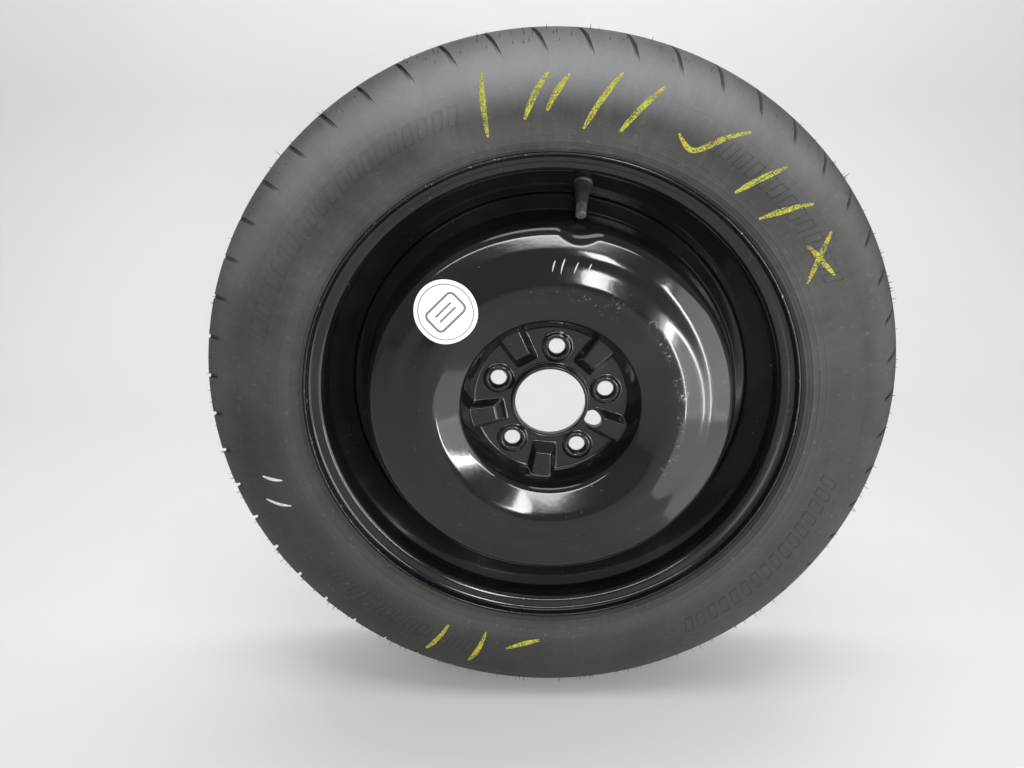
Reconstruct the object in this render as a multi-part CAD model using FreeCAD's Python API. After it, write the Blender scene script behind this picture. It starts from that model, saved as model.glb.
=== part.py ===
import FreeCAD, Part
import math
import os

V = FreeCAD.Vector

# frame: axle along Y, outer side towards -Y, Z up, origin on the axle at the middle of the rim

# rim, all radii from the axle
bead_seat_r = 231.0
rim_width = 101.6
rim_sheet = 2.6
flange_r = 246.5
lip_y = 62.0
flange_curl_r = 9.0
bead_corner_r = 6.5
seat_drop = 1.8
seat_end_y = 31.0
well_r = 206.6
well_front_y = -13.0
well_rear_y = 16.0
well_bend_r = 5.0

# wheel disc
disc_sheet = 4.0
bore_r = 35.25
collar_y = -49.0
collar_bend_r = 1.2
hub_face_y = -40.5
hub_foot_r = 77.0
hub_foot_bend_r = 6.0
hub_brow_r = 90.0
hub_brow_y = -65.5
hub_brow_bend_r = 10.0
crest_r = 122.0
crest_y = -81.0
crest_bend_r = 35.0
shelf_start_r = 147.0
shelf_start_y = -75.9
shelf_start_bend_r = 60.0
shelf_end_r = 159.0
shelf_end_y = -74.95
shelf_end_bend_r = 45.0
dome_edge_r = 181.5
dome_edge_y = -68.9
dome_edge_bend_r = 13.0
skirt_foot_r = 189.0
skirt_foot_y = -24.0
skirt_foot_bend_r = 7.0
flange_start_y = -14.0
flange_bend_r = 6.0
flange_end_y = 9.0
seat_gap = 0.05

# hub pattern
bolt_count = 5
bolt_pcd = 114.3
bolt_hole_r = 8.0
bolt_angle = 6.35
seat_mouth_r = 10.3
seat_half_angle = 30.0
boss_foot_r = 15.5
boss_top_r = 13.0
boss_height = 2.5
boss_back_r = 12.0
boss_back_depth = 1.0
bridge_angle = 42.35
bridge_height = 9.0
bridge_foot_r = 46.0
bridge_top_r = 57.0
bridge_top_half = 7.5
bridge_outer_half = 10.5
bridge_side_run = 5.5
bridge_reach_r = 87.0
locating_hole_r = 8.5
locating_radius = 47.9
locating_angle = 114.3

# welds that join disc and rim
weld_count = 8
weld_leg = 4.0
weld_arc = 24.0
weld_gap = 0.05

# sticker on the dome
sticker_r = 30.6
sticker_x = -100.0
sticker_z = 102.5
sticker_thick = 0.25
sticker_gap = 0.05

# tyre
tyre_r = 352.0
tyre_half = 74.5
bead_gap = 0.1
toe_y = 31.5
toe_height = 7.0
groove_count = 52
groove_width = 3.6
groove_depth = 4.5
groove_slant = 20.0
groove_phase = -3.5
groove_inner_y = -23.4
rib_groove_width = 6.0
rib_groove_y = 15.0

# valve, lengths along its own axis from the rim's outer surface
valve_angle = 7.8
valve_hole_r = 5.75
valve_neck_gap = 0.1
valve_bulb_r = 9.3
valve_bulb_end = -9.0
valve_collar_r = 9.4
valve_collar_top = 1.8
valve_shoulder_r = 7.8
valve_top = 27.5
valve_top_r = 5.2
stem_r = 3.85
stem_root_r = 3.4
stem_bottom = -11.0
stem_top = 38.0
stem_passage_r = 1.6
stem_chamber_r = 2.65
chamber_bottom = 24.0
seat_taper = 1.4
stem_grip = 0.02

# valve core
core_plug_r = 2.6
core_plug_bottom = 31.6
core_plug_top = 36.4
core_slot_width = 1.2
core_slot_depth = 2.4
barrel_r = 1.9
barrel_bore_r = 1.45
barrel_bottom = 22.6
barrel_floor = 1.0
barrel_top = 31.5
pin_r = 0.6
pin_guide_gap = 0.06
pin_tip = 37.5
pin_collar_r = 1.3
pin_collar_low = 29.6
pin_collar_high = 30.2
poppet_r = 1.35
poppet_low = 19.9
poppet_high = 21.7
poppet_bore_gap = 0.02
core_gap = 0.03
seal_ring_low = 25.6
seal_ring_high = 27.6
spring_wire_r = 0.14
spring_coil_r = 1.05
spring_turns = 6.0
spring_clear = 0.05

# cap
cap_r = 5.1
cap_low = 28.0
cap_top = 41.5
cap_bore_gap = 0.08
cap_roof = 1.6
cap_edge_r = 1.2
cap_flutes = 18
cap_flute_r = 0.7
cap_flute_low = 29.0
cap_seal_thick = 1.3
cap_seal_gap = 0.05
cap_scallop_gap = 3.4


def unit(a, b):
    length = math.hypot(b[0] - a[0], b[1] - a[1])
    return ((b[0] - a[0]) / length, (b[1] - a[1]) / length)


def offset_points(points, radii, distance):
    # moves an open line to its left and keeps its bends concentric
    moved = []
    bends = []
    last = len(points) - 1
    for i, p in enumerate(points):
        before = unit(points[max(i - 1, 0)], points[max(i, 1)])
        after = unit(points[min(i, last - 1)], points[min(i + 1, last)])
        cross = before[0] * after[1] - before[1] * after[0]
        dot = before[0] * after[0] + before[1] * after[1]
        k = distance / (1.0 + dot)
        moved.append((p[0] - k * (before[1] + after[1]), p[1] + k * (before[0] + after[0])))
        turn = 1.0 if cross > 0 else -1.0
        bends.append(radii[i] - turn * distance if radii[i] else 0.0)
    return moved, bends


def bent_line(points, radii):
    # straight runs with a true arc at each bend
    edges = []
    start = points[0]
    for i in range(1, len(points) - 1):
        p = points[i]
        a = unit(p, points[i - 1])
        b = unit(p, points[i + 1])
        half = 0.5 * math.acos(a[0] * b[0] + a[1] * b[1])
        run = radii[i] / math.tan(half)
        middle = unit((0, 0), (a[0] + b[0], a[1] + b[1]))
        reach = radii[i] / math.sin(half) - radii[i]
        first = (p[0] + a[0] * run, p[1] + a[1] * run)
        second = (p[0] + b[0] * run, p[1] + b[1] * run)
        crown = (p[0] + middle[0] * reach, p[1] + middle[1] * reach)
        edges.append(Part.LineSegment(V(*start, 0), V(*first, 0)).toShape())
        edges.append(Part.Arc(V(*first, 0), V(*crown, 0), V(*second, 0)).toShape())
        start = second
    edges.append(Part.LineSegment(V(*start, 0), V(*points[-1], 0)).toShape())
    return edges


def polyline(points):
    return [Part.LineSegment(V(*a, 0), V(*b, 0)).toShape() for a, b in zip(points, points[1:])]


def smooth(points):
    curve = Part.BSplineCurve()
    curve.interpolate([V(*p, 0) for p in points])
    return curve.toShape()


def turned(edges, angle=360.0):
    # drawn as radius and Y, turned about the axle
    wire = Part.Wire(Part.__sortEdges__(edges))
    solid = Part.Face(wire).revolve(V(0, 0, 0), V(0, 1, 0), angle)
    if solid.Volume < 0:
        solid.reverse()
    return solid


def lathe(points):
    # drawn as radius and height on the valve's own axis, which is Z here
    edges = []
    for a, b in zip(points, points[1:] + points[:1]):
        edges.append(Part.LineSegment(V(a[0], 0, a[1]), V(b[0], 0, b[1])).toShape())
    solid = Part.Face(Part.Wire(edges)).revolve(V(0, 0, 0), V(0, 0, 1), 360)
    if solid.Volume < 0:
        solid.reverse()
    return solid


def at_angle(radius, y, degrees):
    # angle from the top, clockwise as seen from the outer side
    a = math.radians(degrees)
    return V(radius * math.sin(a), y, radius * math.cos(a))


def turn_to(shape, degrees):
    copy = shape.copy()
    copy.rotate(V(0, 0, 0), V(0, 1, 0), degrees)
    return copy


def cone_on_axle(r1, y1, r2, y2, centre):
    # cone or cylinder along Y, between two stations
    if abs(r1 - r2) < 1e-9:
        return Part.makeCylinder(r1, y2 - y1, V(centre.x, y1, centre.z), V(0, 1, 0))
    return Part.makeCone(r1, r2, y2 - y1, V(centre.x, y1, centre.z), V(0, 1, 0))


half_width = rim_width / 2
rim_points = [
    (flange_r, -lip_y),
    (flange_r, -half_width),
    (bead_seat_r, -half_width),
    (bead_seat_r - seat_drop, -seat_end_y),
    (well_r, well_front_y),
    (well_r, well_rear_y),
    (bead_seat_r - seat_drop, seat_end_y),
    (bead_seat_r, half_width),
    (flange_r, half_width),
    (flange_r, lip_y),
]
rim_bends = [0, flange_curl_r, bead_corner_r, well_bend_r, well_bend_r]
rim_bends = rim_bends + rim_bends[::-1]

# valve seat: middle of the slope between the outer bead seat and the well
slope_a = rim_points[3]
slope_b = rim_points[4]
slope = unit(slope_a, slope_b)
valve_out = (-slope[1], slope[0])
valve_mid = ((slope_a[0] + slope_b[0]) / 2, (slope_a[1] + slope_b[1]) / 2)
valve_r = valve_mid[0] + valve_out[0] * rim_sheet
valve_y = valve_mid[1] + valve_out[1] * rim_sheet
valve_origin = at_angle(valve_r, valve_y, valve_angle)
valve_radial = at_angle(1.0, 0.0, valve_angle)
valve_axis = valve_radial * valve_out[0] + V(0, valve_out[1], 0)
valve_place = FreeCAD.Placement(valve_origin, FreeCAD.Rotation(V(0, 0, 1), valve_axis))


def on_valve(shape):
    copy = shape.copy()
    copy.Placement = valve_place.multiply(copy.Placement)
    return copy


def valve_cylinder(radius, low, high):
    return Part.makeCylinder(radius, high - low, V(0, 0, low), V(0, 0, 1))


def make_rim():
    inner_points, inner_bends = offset_points(rim_points, rim_bends, rim_sheet)
    outer = bent_line(rim_points, rim_bends)
    inner = bent_line(inner_points, inner_bends)
    ends = polyline([rim_points[0], inner_points[0]]) + polyline([rim_points[-1], inner_points[-1]])
    band = turned(outer + inner + ends)
    return band.cut(on_valve(valve_cylinder(valve_hole_r, -rim_sheet - 2, 2)))


flange_outer_r = well_r - rim_sheet - seat_gap
disc_points = [
    (bore_r + disc_sheet, collar_y),
    (bore_r + disc_sheet, hub_face_y),
    (hub_foot_r, hub_face_y),
    (hub_brow_r, hub_brow_y),
    (crest_r, crest_y),
    (shelf_start_r, shelf_start_y),
    (shelf_end_r, shelf_end_y),
    (dome_edge_r, dome_edge_y),
    (skirt_foot_r, skirt_foot_y),
    (flange_outer_r, flange_start_y),
    (flange_outer_r, flange_end_y),
]
disc_bends = [
    0,
    collar_bend_r,
    hub_foot_bend_r,
    hub_brow_bend_r,
    crest_bend_r,
    shelf_start_bend_r,
    shelf_end_bend_r,
    dome_edge_bend_r,
    skirt_foot_bend_r,
    flange_bend_r,
    0,
]


def block_behind(points, bends):
    # everything between a bent line and the plane through its last point, open inside the bore
    core_r = bore_r - disc_sheet
    start = points[0]
    end = points[-1]
    edges = bent_line(points, bends)
    edges += polyline([end, (core_r, end[1]), (core_r, start[1]), start])
    return turned(edges)


def bridge_block(top_y, low_y, inset):
    # raised web between two bolt seats, drawn along +Z and turned into place
    low = [
        (bridge_foot_r + inset, bridge_top_half + bridge_side_run - inset),
        (bridge_reach_r, bridge_outer_half + bridge_side_run - inset),
    ]
    top = [
        (bridge_top_r + inset, bridge_top_half - inset * 0.5),
        (bridge_reach_r, bridge_outer_half - inset * 0.5),
    ]
    rings = []
    for pair, y in ((low, low_y), (top, top_y)):
        corners = [V(-pair[0][1], y, pair[0][0]), V(pair[0][1], y, pair[0][0])]
        corners += [V(pair[1][1], y, pair[1][0]), V(-pair[1][1], y, pair[1][0])]
        rings.append(Part.makePolygon(corners + corners[:1]))
    return Part.makeLoft(rings, True, True)


def make_disc():
    back_points, back_bends = offset_points(disc_points, disc_bends, disc_sheet)
    front = block_behind(disc_points, disc_bends)
    back = block_behind(back_points, back_bends)
    bridge = bridge_block(hub_face_y - bridge_height, hub_face_y, 0.0)
    hollow = bridge_block(hub_face_y - bridge_height + disc_sheet, hub_face_y + disc_sheet, 3.0)
    step = 360.0 / bolt_count
    for k in range(bolt_count):
        front = front.fuse(turn_to(bridge, bridge_angle + step * k))
        back = back.fuse(turn_to(hollow, bridge_angle + step * k))
        centre = at_angle(bolt_pcd / 2, 0, bolt_angle + step * k)
        boss = cone_on_axle(boss_top_r, hub_face_y - boss_height, boss_foot_r, hub_face_y, centre)
        dent_y = hub_face_y + disc_sheet
        dent = cone_on_axle(boss_back_r - boss_back_depth, dent_y - boss_back_depth, boss_back_r, dent_y, centre)
        front = front.fuse(boss)
        back = back.fuse(dent)
    scallop_r = cap_r + cap_scallop_gap
    front = front.cut(on_valve(valve_cylinder(scallop_r, cap_low, cap_top + 30)))
    back = back.cut(on_valve(valve_cylinder(scallop_r + disc_sheet, cap_low, cap_top + 30)))
    disc = front.cut(back)
    mouth_y = hub_face_y - boss_height
    seat_depth = (seat_mouth_r - bolt_hole_r) / math.tan(math.radians(seat_half_angle))
    holes = []
    for k in range(bolt_count):
        centre = at_angle(bolt_pcd / 2, 0, bolt_angle + step * k)
        holes.append(cone_on_axle(seat_mouth_r, mouth_y, bolt_hole_r, mouth_y + seat_depth, centre))
        holes.append(cone_on_axle(bolt_hole_r, mouth_y - 1, bolt_hole_r, mouth_y + 20, centre))
    centre = at_angle(locating_radius, 0, locating_angle)
    holes.append(cone_on_axle(locating_hole_r, hub_face_y - 12, locating_hole_r, hub_face_y + 12, centre))
    disc = disc.cut(holes)
    return disc.removeSplitter()


def make_welds():
    top = flange_outer_r
    y0 = flange_end_y + weld_gap
    corner = (top - weld_gap + seat_gap, y0)
    side = (corner[0] - weld_leg, y0)
    far = (corner[0], y0 + weld_leg)
    middle = (corner[0] - weld_leg * 0.62, y0 + weld_leg * 0.62)
    edges = polyline([side, corner, far])
    edges.append(Part.Arc(V(*side, 0), V(*middle, 0), V(*far, 0)).toShape())
    bead = turned(edges, weld_arc)
    step = 360.0 / weld_count
    return Part.makeCompound([turn_to(bead, step * k + step / 2) for k in range(weld_count)])


def make_sticker():
    low_points, low_bends = offset_points(disc_points, disc_bends, -sticker_gap)
    top_points, top_bends = offset_points(disc_points, disc_bends, -sticker_gap - sticker_thick)
    low = block_behind(low_points, low_bends)
    top = block_behind(top_points, top_bends)
    column = Part.makeCylinder(sticker_r, 40, V(sticker_x, -90, sticker_z), V(0, 1, 0))
    return top.common(column).cut(low)


tyre_side = [
    (247.5, -63.6),
    (250.2, -66.2),
    (255.0, -69.0),
    (264.0, -72.2),
    (276.0, -74.0),
    (288.0, -tyre_half),
    (302.0, -73.0),
    (316.0, -68.6),
    (329.0, -61.0),
    (339.0, -51.0),
    (345.5, -41.5),
    (349.4, -31.5),
    (351.2, -19.0),
]
tyre_inside = [
    (246.0, -37.5),
    (256.0, -51.0),
    (268.0, -61.5),
    (283.0, -66.5),
    (300.0, -65.0),
    (315.0, -59.5),
    (327.0, -49.5),
    (335.0, -36.0),
    (338.8, -18.0),
]
groove_floor = [
    (328.4, -62.2),
    (336.3, -48.7),
    (341.5, -39.4),
    (345.0, -30.4),
    (346.1, groove_inner_y),
]


def mirrored(points):
    return [(r, -y) for r, y in points[::-1]]


def make_tyre():
    seat_at_toe = bead_seat_r - seat_drop * (half_width - toe_y) / (half_width - seat_end_y) + bead_gap
    foot = [
        (seat_at_toe, -toe_y),
        (bead_seat_r + bead_gap, -half_width + bead_gap),
        (flange_r + bead_gap, -half_width + bead_gap),
        (flange_r + bead_gap, -lip_y),
    ]
    foot_bends = [0, bead_corner_r - bead_gap, flange_curl_r + bead_gap, 0]
    outer = [foot[-1]] + tyre_side + [(tyre_r, 0.0)] + mirrored(tyre_side) + mirrored(foot[-1:])
    toe_top = (seat_at_toe + toe_height, -toe_y)
    inner = [toe_top] + tyre_inside + [(tyre_r - 12.5, 0.0)] + mirrored(tyre_inside) + mirrored([toe_top])
    edges = bent_line(foot, foot_bends)
    edges += bent_line(mirrored(foot), foot_bends[::-1])
    edges += [smooth(outer), smooth(inner)]
    edges += polyline([foot[0], toe_top]) + polyline(mirrored([foot[0], toe_top]))
    body = turned(edges)
    cuts = []
    for y in (-rib_groove_y, 0.0, rib_groove_y):
        low = y - rib_groove_width / 2
        ring = Part.makeCylinder(tyre_r + 5, rib_groove_width, V(0, low, 0), V(0, 1, 0))
        cuts.append(ring.cut(Part.makeCylinder(tyre_r - groove_depth, rib_groove_width, V(0, low, 0), V(0, 1, 0))))
    outline = groove_floor + [(tyre_r + 8, groove_inner_y), (tyre_r + 8, -72.0), (330.5, -72.0)]
    shoulder = turned(polyline(outline + outline[:1]))
    slab = Part.makeBox(groove_width, 70, 60, V(-groove_width / 2, -85, tyre_r - 45))
    slab.rotate(V(0, groove_inner_y, 0), V(0, 0, 1), groove_slant)
    step = 360.0 / groove_count
    slabs = [turn_to(slab, groove_phase + step * k) for k in range(groove_count)]
    slots = shoulder.common(Part.makeCompound(slabs))
    cuts += slots.Solids
    for s in slots.Solids:
        far = s.mirror(V(0, 0, 0), V(0, 1, 0))
        cuts.append(turn_to(far, step / 2))
    return body.cut(cuts)


def make_valve():
    neck_r = valve_hole_r - valve_neck_gap
    low = -rim_sheet - valve_neck_gap
    rubber = lathe([
        (0, valve_bulb_end - 4),
        (5.0, valve_bulb_end - 4),
        (6.2, valve_bulb_end),
        (valve_bulb_r, low - 2.2),
        (valve_bulb_r, low),
        (neck_r, low),
        (neck_r, valve_neck_gap),
        (valve_collar_r, valve_neck_gap),
        (valve_collar_r, valve_collar_top),
        (valve_shoulder_r, valve_collar_top + 1.4),
        (valve_top_r + 0.6, valve_top - 6),
        (valve_top_r, valve_top),
        (0, valve_top),
    ])
    cavity = valve_cylinder(stem_root_r + stem_grip, stem_bottom, valve_top + 1)
    rubber = rubber.cut([cavity, valve_cylinder(stem_passage_r + 0.6, -40, stem_bottom + 1)])
    stem = lathe([
        (stem_passage_r, stem_bottom + stem_grip),
        (stem_root_r, stem_bottom + stem_grip),
        (stem_root_r, valve_top + 0.1),
        (stem_r - 0.3, valve_top + 0.1),
        (stem_r, valve_top + 0.5),
        (stem_r, stem_top - 0.5),
        (stem_r - 0.5, stem_top),
        (stem_chamber_r, stem_top),
        (stem_chamber_r, chamber_bottom + seat_taper),
        (stem_passage_r + 0.4, chamber_bottom),
        (stem_passage_r, chamber_bottom),
    ])
    return on_valve(rubber), on_valve(stem)


def make_core():
    guide_r = pin_r + pin_guide_gap
    plug = lathe([
        (guide_r, core_plug_bottom),
        (barrel_r, core_plug_bottom),
        (core_plug_r - 0.3, core_plug_bottom + 0.6),
        (core_plug_r - 0.02, core_plug_bottom + 0.9),
        (core_plug_r - 0.02, core_plug_top - 0.4),
        (core_plug_r - 0.4, core_plug_top),
        (guide_r, core_plug_top),
    ])
    flat = Part.makeBox(2.2, 8, core_slot_depth + 1, V(core_slot_width, -4, core_plug_top - core_slot_depth))
    other = flat.mirror(V(0, 0, 0), V(1, 0, 0))
    plug = plug.cut([flat, other])
    barrel = lathe([
        (guide_r, barrel_bottom),
        (barrel_r - 0.35, barrel_bottom),
        (barrel_r - 0.35, chamber_bottom),
        (barrel_r, chamber_bottom + 1.5),
        (barrel_r, barrel_top),
        (barrel_bore_r, barrel_top),
        (barrel_bore_r, barrel_bottom + barrel_floor),
        (guide_r, barrel_bottom + barrel_floor),
    ])
    ring = lathe([
        (barrel_r + core_gap, seal_ring_low),
        (barrel_r + 0.35, seal_ring_low),
        (stem_chamber_r - core_gap, seal_ring_low + 0.9),
        (stem_chamber_r - core_gap, seal_ring_high),
        (barrel_r + core_gap, seal_ring_high),
    ])
    pin = lathe([
        (0, poppet_low - 0.4),
        (pin_r, poppet_low - 0.4),
        (pin_r, pin_collar_low),
        (pin_collar_r, pin_collar_low),
        (pin_collar_r, pin_collar_high),
        (pin_r, pin_collar_high),
        (pin_r, pin_tip - 0.2),
        (pin_r - 0.2, pin_tip),
        (0, pin_tip),
    ])
    hold_r = pin_r + poppet_bore_gap
    poppet = lathe([
        (hold_r, poppet_low),
        (poppet_r - 0.3, poppet_low),
        (poppet_r, poppet_low + 0.4),
        (poppet_r, poppet_high),
        (hold_r, poppet_high),
    ])
    seal = lathe([
        (hold_r, poppet_high + core_gap),
        (poppet_r - 0.05, poppet_high + core_gap),
        (poppet_r - 0.05, barrel_bottom - core_gap),
        (hold_r, barrel_bottom - core_gap),
    ])
    low = barrel_bottom + barrel_floor + spring_wire_r + spring_clear
    high = pin_collar_low - spring_wire_r - spring_clear
    helix = Part.makeHelix((high - low) / spring_turns, high - low, spring_coil_r)
    helix.translate(V(0, 0, low))
    start = V(spring_coil_r, 0, low)
    rise = (high - low) / spring_turns / (2 * math.pi)
    wire = Part.Wire([Part.makeCircle(spring_wire_r, start, V(0, spring_coil_r, rise))])
    spring = Part.Wire(helix.Edges).makePipeShell([wire], True, True)
    shapes = {
        "core_plug": plug,
        "core_barrel": barrel,
        "core_seal": ring,
        "core_pin": pin,
        "core_poppet": poppet,
        "poppet_seal": seal,
        "core_spring": spring,
    }
    return {name: on_valve(shape) for name, shape in shapes.items()}


def make_cap():
    bore = stem_r + cap_bore_gap
    roof = cap_top - cap_roof
    body = lathe([
        (bore + 0.3, cap_low),
        (cap_r - 0.3, cap_low),
        (cap_r, cap_low + 0.3),
        (cap_r, cap_top - cap_edge_r),
        (cap_r - cap_edge_r * 0.3, cap_top - cap_edge_r * 0.3),
        (cap_r - cap_edge_r, cap_top),
        (0, cap_top),
        (0, roof),
        (bore, roof),
        (bore, cap_low + 0.3),
    ])
    flutes = []
    for k in range(cap_flutes):
        a = 2 * math.pi * k / cap_flutes
        r = cap_r + cap_flute_r * 0.55
        spot = V(r * math.cos(a), r * math.sin(a), cap_flute_low)
        flutes.append(Part.makeCylinder(cap_flute_r, 30, spot, V(0, 0, 1)))
    body = body.cut(flutes)
    low = stem_top + cap_seal_gap
    seal = valve_cylinder(bore - 0.1, low, roof - cap_seal_gap)
    return on_valve(body), on_valve(seal)


parts = {}
parts["rim"] = make_rim()
parts["wheel_disc"] = make_disc()
parts["disc_welds"] = make_welds()
parts["sticker"] = make_sticker()
parts["tyre"] = make_tyre()
parts["valve_rubber"], parts["valve_stem"] = make_valve()
parts.update(make_core())
parts["valve_cap"], parts["cap_seal"] = make_cap()

os.makedirs("parts", exist_ok=True)
for name, shape in parts.items():
    box = shape.BoundBox
    print(name, shape.isValid(), len(shape.Solids), round(shape.Volume, 1), round(box.YMin, 2), round(box.YMax, 2))
    shape.exportStep("parts/" + name + ".step")
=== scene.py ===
import math
import random

import bmesh
import bpy
import numpy as np
from mathutils import Matrix, Vector


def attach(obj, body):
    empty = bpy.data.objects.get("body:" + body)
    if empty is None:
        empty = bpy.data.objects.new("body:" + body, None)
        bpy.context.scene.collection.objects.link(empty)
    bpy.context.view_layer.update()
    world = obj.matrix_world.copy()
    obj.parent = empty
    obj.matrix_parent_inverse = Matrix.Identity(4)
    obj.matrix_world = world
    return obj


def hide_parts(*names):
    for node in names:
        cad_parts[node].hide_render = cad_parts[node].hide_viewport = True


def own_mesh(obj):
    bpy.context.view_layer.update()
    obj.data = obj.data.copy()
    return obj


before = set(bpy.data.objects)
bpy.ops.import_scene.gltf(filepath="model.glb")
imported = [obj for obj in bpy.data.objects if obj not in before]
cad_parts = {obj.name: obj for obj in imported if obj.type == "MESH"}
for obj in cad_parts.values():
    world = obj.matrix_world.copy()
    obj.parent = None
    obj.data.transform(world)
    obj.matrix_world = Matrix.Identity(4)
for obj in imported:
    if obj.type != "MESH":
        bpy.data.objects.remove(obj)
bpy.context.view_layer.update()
mm = 0.001
print("frame loaded:", ", ".join(sorted(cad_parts)))


# shader maths

class Wire:
    # one socket in a material, with operators that add Math nodes
    def __init__(self, tree, socket=None):
        self.tree = tree
        self.socket = socket

    def make(self, kind, settings=None, values=None, out=0):
        # any node: settings are set first, then values or links
        node = self.tree.nodes.new("ShaderNode" + kind)
        for key, value in (settings or {}).items():
            setattr(node, key, value)
        for key, value in (values or {}).items():
            socket = node.inputs[key]
            if isinstance(value, Wire):
                self.tree.links.new(value.socket, socket)
            elif socket.type == "RGBA" and len(value) == 3:
                socket.default_value = (*value, 1.0)
            else:
                socket.default_value = value
        return Wire(self.tree, node.outputs[out])

    def sum(self, operation, a, b=0.0):
        return self.make("Math", {"operation": operation}, {0: a, 1: b})

    def __add__(self, other):
        return self.sum("ADD", self, other)

    def __radd__(self, other):
        return self.sum("ADD", other, self)

    def __sub__(self, other):
        return self.sum("SUBTRACT", self, other)

    def __rsub__(self, other):
        return self.sum("SUBTRACT", other, self)

    def __mul__(self, other):
        return self.sum("MULTIPLY", self, other)

    def __rmul__(self, other):
        return self.sum("MULTIPLY", other, self)

    def __gt__(self, other):
        return self.sum("GREATER_THAN", self, other)

    def __lt__(self, other):
        return self.sum("LESS_THAN", self, other)

    def step(self, low, high):
        # soft step from low to high, 0 to 1
        return self.make("MapRange", {"interpolation_type": "SMOOTHSTEP"},
                         {0: self, 1: low, 2: high, 3: 0.0, 4: 1.0})

    def ring(self, middle, half):
        # 1 at the middle, soft fall to 0 at half
        away = self.sum("ABSOLUTE", self - middle)
        return away.step(half, 0.0)

    def over(self, below, above):
        # colour mix with this value as the share of above
        return self.make("Mix", {"data_type": "RGBA"}, {0: self, 6: below, 7: above}, out=2)

    def noise(self, place, scale, detail=4.0, rough=0.55):
        return self.make("TexNoise", {}, {
            "Vector": place, "Scale": scale, "Detail": detail, "Roughness": rough})


def newFinish(name):
    material = bpy.data.materials.new(name)
    material.use_nodes = True
    tree = material.node_tree
    tree.nodes.clear()
    return material, Wire(tree)


def shown(wire, shader):
    out = wire.tree.nodes.new("ShaderNodeOutputMaterial")
    wire.tree.links.new(shader.socket, out.inputs[0])


def wheelPlace(wire):
    # place on the wheel: object point, radius in mm, angle from the top, X, Y and Z
    point = wire.make("TexCoord", out=3)
    parts = point.tree.nodes.new("ShaderNodeSeparateXYZ")
    point.tree.links.new(point.socket, parts.inputs[0])
    x, y, z = (Wire(point.tree, parts.outputs[i]) for i in range(3))
    radius = wire.sum("SQRT", x * x + z * z) * 1000
    angle = wire.sum("ARCTAN2", x, z)
    return point, radius, angle, x, y, z


# finishes

# rubber tones; dust also carries the painted top light, and pale is the painted sheen
rubberLook = dict(base=(0.021, 0.0207, 0.020), dust=(0.105, 0.103, 0.098),
                  stain=(0.052, 0.046, 0.033), pale=(0.22, 0.22, 0.225))
paintLook = dict(base=(0.005, 0.005, 0.0055), dust=(0.16, 0.155, 0.145), bare=(0.55, 0.55, 0.56), rough=0.10)


def tyreRubber():
    material, w = newFinish("tyreRubber")
    point, radius, angle, _, y, z = wheelPlace(w)
    around = w.make("CombineXYZ", {}, {0: angle * 14.0, 1: radius * 0.012, 2: y * 9.0})
    blotch = w.noise(point, 7.0, 6.0, 0.62)
    streak = w.noise(around, 2.2, 5.0, 0.6)
    grain = w.noise(point, 520.0, 3.0, 0.6)
    speck = w.noise(point, 190.0, 2.0, 0.5)
    # painted top light: the mask below makes the tyre lighter towards the top, as if lit from above
    paintedTopLight = z.step(-0.15, 0.34)
    shoulder = radius.ring(331.0, 26.0)
    bead = radius.ring(262.0, 16.0)
    # dust blotches and shoulder dust, scaled up towards the top as painted top light
    dust = (blotch.step(0.36, 0.72) * 0.5 + streak.step(0.4, 0.75) * 0.12) * (0.3 + paintedTopLight * 0.7)
    dust = dust + shoulder * (0.08 + paintedTopLight * 0.5) + bead * 0.14 + speck.step(0.62, 0.75) * 0.25
    stain = w.noise(point, 3.1, 5.0, 0.65).step(0.52, 0.75) * 0.75
    colour = w.sum("MINIMUM", dust, 1.0).over(rubberLook["base"], rubberLook["dust"])
    colour = stain.over(colour, rubberLook["stain"])
    # painted sheen: a pale band on the upper-left sidewall stands in for the lamps' reflection
    paintedSheen = radius.ring(316.0, 36.0) * angle.ring(math.radians(-6), math.radians(78)) * (0.55 + streak * 0.25)
    colour = paintedSheen.over(colour, rubberLook["pale"])
    colour = (grain.step(0.55, 0.8) * 0.25).over(colour, (0.02, 0.02, 0.02))
    rough = 0.60 + blotch * 0.25
    rope = w.make("TexWave", {"wave_type": "BANDS", "bands_direction": "X"}, {
        "Vector": w.make("CombineXYZ", {}, {0: angle * 60.0, 1: radius * 0.55, 2: 0.0}), "Scale": 1.0})
    rope = rope * radius.ring(252.0, 5.5)
    rings = w.sum("MAXIMUM", radius.ring(262.0, 1.0),
                  w.sum("MAXIMUM", radius.ring(268.0, 0.8), radius.ring(307.0, 0.9)))
    height = grain * 0.35 + blotch * 0.6 + rope * 0.9 + rings * 1.6
    bump = w.make("Bump", {}, {"Strength": 0.35, "Distance": 0.0006, "Height": height})
    shown(w, w.make("BsdfPrincipled", {}, {
        "Base Color": colour, "Roughness": rough, "Normal": bump, "Specular IOR Level": 0.35}))
    return material


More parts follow.
